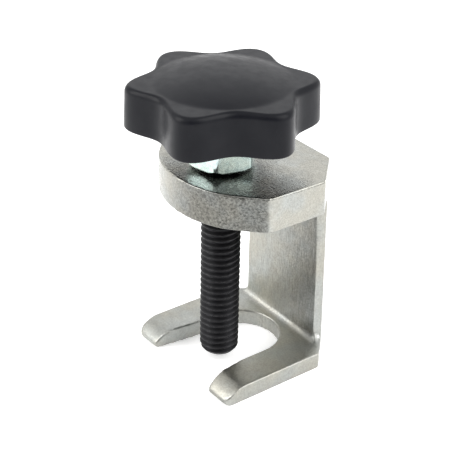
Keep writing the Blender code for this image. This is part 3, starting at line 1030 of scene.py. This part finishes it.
class SeparatorFrame(bpy.types.PropertyGroup):
    """Sizes of the forged frame."""

    height: length("Height", "From the floor to the arm's top", FRAME_HIGH.z)
    arm_thickness: length("Arm Thickness", "Height of the arm's flank", 11.1 * MM)
    foot_thickness: length("Foot Thickness", "Thickness of the fork", 5.4 * MM)
    foot_half_width: length("Foot Half Width", "From the middle to the fork's side", 23.7 * MM)
    web_thickness: length("Web Thickness", "Thickness of the web, front to back", 4.3 * MM)
    web_half_width: length("Web Half Width", "From the middle to the web's side", 16.8 * MM)
    arm_fillet: length("Arm Fillet", "Fillet between web and arm", 3.0 * MM)
    foot_fillet: length("Foot Fillet", "Fillet between web and foot", 2.4 * MM)
    side_fillet: length("Side Fillet", "Fillets beside the web", 3.6 * MM)
    corner_reach: length("Corner Reach", "How far out the corner planes stand on the floor", 44.5 * MM)
    corner_taper: factor("Corner Taper", "Lean of the corner planes", 0.02)
    tip_y: length("Tip", "Where the prongs end", -14.6 * MM)
    slot_radius: length("Slot Radius", "Radius of the slot's round end", 12.2 * MM)
    slot_centre_y: length("Slot Centre", "Centre of the slot's round end", 8.4 * MM)
    slot_flare: factor("Slot Flare", "How much the slot spreads towards the tips", 0.064)
    bore_radius: length("Bore Radius", "Radius of the screw's bore", 6.3 * MM)
    bore_chamfer: length("Bore Chamfer", "Chamfer at the bore's mouths", 0.8 * MM)
    skin_step: length("Skin Step", "Spacing of the even skin", 0.4 * MM)
    forging_wave: length("Forging Wave", "Height of the broad waves in the forged skin", 0.05 * MM)
    pebble_height: length("Pebble Height", "Height of the pebbles round the arm", 0.05 * MM)


class SeparatorSteel(bpy.types.PropertyGroup):
    """Finish of the frame."""

    cool: colour("Cool Zinc", "Colour of the bluer patches", (0.375, 0.388, 0.372))
    warm: colour("Warm Zinc", "Colour of the yellower patches", (0.392, 0.384, 0.342))
    dull: colour("Dull Zinc", "Colour of the duller specks", (0.28, 0.275, 0.25))
    grinding_angle: angle("Grinding Angle", "Direction of the lines ground into the arm's top", 50)
    wrinkle_depth: length("Wrinkle Depth", "Depth of the wrinkles round the arm", 0.26 * MM)


class SeparatorScrew(bpy.types.PropertyGroup):
    """Sizes and finish of the forcing screw."""

    radius: length("Radius", "Radius over the thread", 6.0 * MM)
    pitch: length("Pitch", "Travel for one turn", 2.0 * MM)
    thread_depth: length("Thread Depth", "Depth of the thread", 1.15 * MM)
    nose_flat: length("Nose Flat", "Radius of the flat on the nose", 2.6 * MM)
    nose_length: length("Nose Length", "Length of the rounded nose", 4.0 * MM)
    steps_per_turn: count("Steps Per Turn", "Smoothness of the thread", 48)
    black: colour("Black Oxide", "Colour of the thread", (0.016, 0.016, 0.018))
    worn_black: colour("Worn Crests", "Colour of the rubbed crests", (0.035, 0.035, 0.037))


class SeparatorNut(bpy.types.PropertyGroup):
    """Sizes and finish of the lock nut."""

    across_flats: length("Across Flats", "Width across two flats", 19.0 * MM)
    angle: angle("Angle", "Direction of one corner", -46.5)
    edge_rounding: length("Edge Rounding", "Radius of the corners and the top and bottom edges", 0.95 * MM)
    bore_radius: length("Bore Radius", "Radius of the nut's bore", 6.3 * MM)
    zinc: colour("Zinc", "Colour of the plating", (0.58, 0.68, 0.67))
    dull_zinc: colour("Dull Zinc", "Colour of the mottling", (0.47, 0.58, 0.58))


class SeparatorKnob(bpy.types.PropertyGroup):
    """Sizes and finish of the hand knob and its bush."""

    lobes: count("Lobes", "Number of lobes", 6)
    lobe_angle: angle("Lobe Angle", "Direction of one lobe", 1.2)
    mean_radius: length("Mean Radius", "Radius half way between lobe and valley", 25.06 * MM)
    lobe_height: length("Lobe Height", "Half the difference between lobe and valley", 2.8 * MM)
    lobe_sharpness: factor("Lobe Sharpness", "How pointed the lobes are", 0.055)
    base: length("Base", "Height of the rim's underside", KNOB_LOW.z + 1.7 * MM)
    dome_radius: length("Dome Radius", "Radius of the dome's foot", 20.0 * MM)
    dome_height: length("Dome Height", "Rise of the dome", 3.1 * MM)
    dome_blend: length("Dome Blend", "Softness of the dome's foot", 0.12 * MM)
    shoulder_slope: factor("Shoulder Slope", "Fall of the shoulder outwards", 0.02)
    top_rounding: length("Top Rounding", "Radius of the upper edge", 2.1 * MM)
    bottom_rounding: length("Bottom Rounding", "Radius of the lower edge", 0.6 * MM)
    draft: length("Draft", "How much narrower the top is", 0.35 * MM)
    wall: length("Wall", "Thickness of the rim", 3.2 * MM)
    rib: length("Rib", "Thickness of the ribs underneath", 2.4 * MM)
    hub_radius: length("Hub Radius", "Radius of the hub underneath", 10.2 * MM)
    hollow_depth: length("Hollow Depth", "Depth of the pockets underneath", 7.5 * MM)
    seat_radius: length("Seat Radius", "Radius of the bush's seat", 8.7 * MM)
    plastic: colour("Plastic", "Colour of the knob", (0.0065, 0.0070, 0.0100))
    pale_plastic: colour("Pale Plastic", "Colour of its paler clouds", (0.0095, 0.0100, 0.0130))
    brass: colour("Brass", "Colour of the bush", (0.72, 0.53, 0.25))
    dull_brass: colour("Dull Brass", "Colour of the bush's stains", (0.55, 0.40, 0.18))


class SeparatorStage(bpy.types.PropertyGroup):
    """Floor, light and camera."""

    floor_size: length("Floor Size", "Width of the floor", 6.0)
    floor_colour: colour("Floor Colour", "Colour of the floor", (0.93, 0.93, 0.93))
    floor_glow: factor("Floor Glow", "Light that comes through the floor", 0.45)
    sky_colour: colour("Sky Colour", "Colour of the surroundings", (1.0, 1.0, 1.0))
    sky_strength: factor("Sky Strength", "Brightness of the surroundings", 0.95)
    dark_azimuth: angle("Dark Azimuth", "Direction of the darker side of the surroundings", 46)
    dark_edge: factor("Dark Edge", "Cosine of the darker side's half width", 0.72)
    dark_share: factor("Dark Share", "Brightness left on the darker side", 0.12)
    azimuth: angle("Azimuth", "Direction of the camera round the object", 52.7299)
    elevation: angle("Elevation", "Height of the camera above the horizon", 29.4907)
    roll: angle("Roll", "Tilt of the camera", -1.0977)
    distance: length("Distance", "From the camera to its target", 377.609 * MM)
    target_height: length("Target Height", "Height of the camera's target", 45.0 * MM)
    slide_right: length("Slide Right", "Camera moved to its right", 1.53136 * MM)
    slide_up: length("Slide Up", "Camera moved up", 1.10185 * MM)
    lens: bpy.props.FloatProperty(
        name="Lens", description="Focal length", default=101.27, unit="CAMERA", precision=3
    )


# Operators


class BuildFrame(bpy.types.Operator):
    """Build the forged frame."""

    bl_idname = "separator.build_frame"
    bl_label = "Frame"

    def execute(self, context):
        forging = make_frame(context.scene.separator_frame)
        settle(forging, "frame", "frame", plated_steel(context.scene.separator_steel))
        remove_cutters()
        return {"FINISHED"}


class BuildScrew(bpy.types.Operator):
    """Build the forcing screw."""

    bl_idname = "separator.build_screw"
    bl_label = "Forcing Screw"

    def execute(self, context):
        settings = context.scene.separator_screw
        screw, finish = make_screw(settings), black_steel(settings)
        settle(screw, "spindle", "spindle_screw", finish, sharp_degrees=50)
        remove_cutters()
        return {"FINISHED"}


class BuildNut(bpy.types.Operator):
    """Build the lock nut."""

    bl_idname = "separator.build_nut"
    bl_label = "Lock Nut"

    def execute(self, context):
        settings = context.scene.separator_nut
        nut, finish = make_nut(settings), zinc_plate(settings)
        settle(nut, "spindle", "lock_nut", finish, sharp_degrees=12)
        remove_cutters()
        return {"FINISHED"}


class BuildKnob(bpy.types.Operator):
    """Build the hand knob, and finish the bush in its hub."""

    bl_idname = "separator.build_knob"
    bl_label = "Hand Knob"

    def execute(self, context):
        settings = context.scene.separator_knob
        knob, finish = make_knob(settings), black_plastic(settings)
        settle(knob, "spindle", "star_knob", finish, sharp_degrees=40)
        bush = frame["nodes"]["knob_insert"]
        bush.data.materials.clear()
        bush.data.materials.append(turned_brass(settings))
        remove_cutters()
        return {"FINISHED"}


class BuildStage(bpy.types.Operator):
    """Set the floor, the lights and the camera."""

    bl_idname = "separator.build_stage"
    bl_label = "Stage"

    def execute(self, context):
        make_stage(context.scene.separator_stage)
        return {"FINISHED"}


class SeparatorPanel(bpy.types.Panel):
    """Lists the separator's pieces and their settings."""

    bl_idname = "VIEW3D_PT_separator"
    bl_label = "Ball Joint Separator"
    bl_space_type = "VIEW_3D"
    bl_region_type = "UI"
    bl_category = "Separator"

    def draw(self, context):
        for operator, names in PIECES:
            box = self.layout.box()
            box.operator(operator.bl_idname)
            for name in names:
                settings = getattr(context.scene, name)
                for key in settings.bl_rna.properties.keys():
                    if key not in ("rna_type", "name"):
                        box.prop(settings, key)


SETTINGS = {
    "separator_frame": SeparatorFrame,
    "separator_steel": SeparatorSteel,
    "separator_screw": SeparatorScrew,
    "separator_nut": SeparatorNut,
    "separator_knob": SeparatorKnob,
    "separator_stage": SeparatorStage,
}
PIECES = (
    (BuildFrame, ("separator_frame", "separator_steel")),
    (BuildScrew, ("separator_screw",)),
    (BuildNut, ("separator_nut",)),
    (BuildKnob, ("separator_knob",)),
    (BuildStage, ("separator_stage",)),
)
CLASSES = (*SETTINGS.values(), *(operator for operator, _ in PIECES), SeparatorPanel)


def register():
    for cls in CLASSES:
        bpy.utils.register_class(cls)
    for name, group in SETTINGS.items():
        setattr(bpy.types.Scene, name, bpy.props.PointerProperty(type=group))


def unregister():
    for name in SETTINGS:
        delattr(bpy.types.Scene, name)
    for cls in reversed(CLASSES):
        bpy.utils.unregister_class(cls)


def main():
    register()
    bpy.ops.separator.build_frame()
    bpy.ops.separator.build_screw()
    bpy.ops.separator.build_nut()
    bpy.ops.separator.build_knob()
    bpy.ops.separator.build_stage()
    bpy.data.collections.remove(work_collection())


if __name__ == "__main__":
    main()
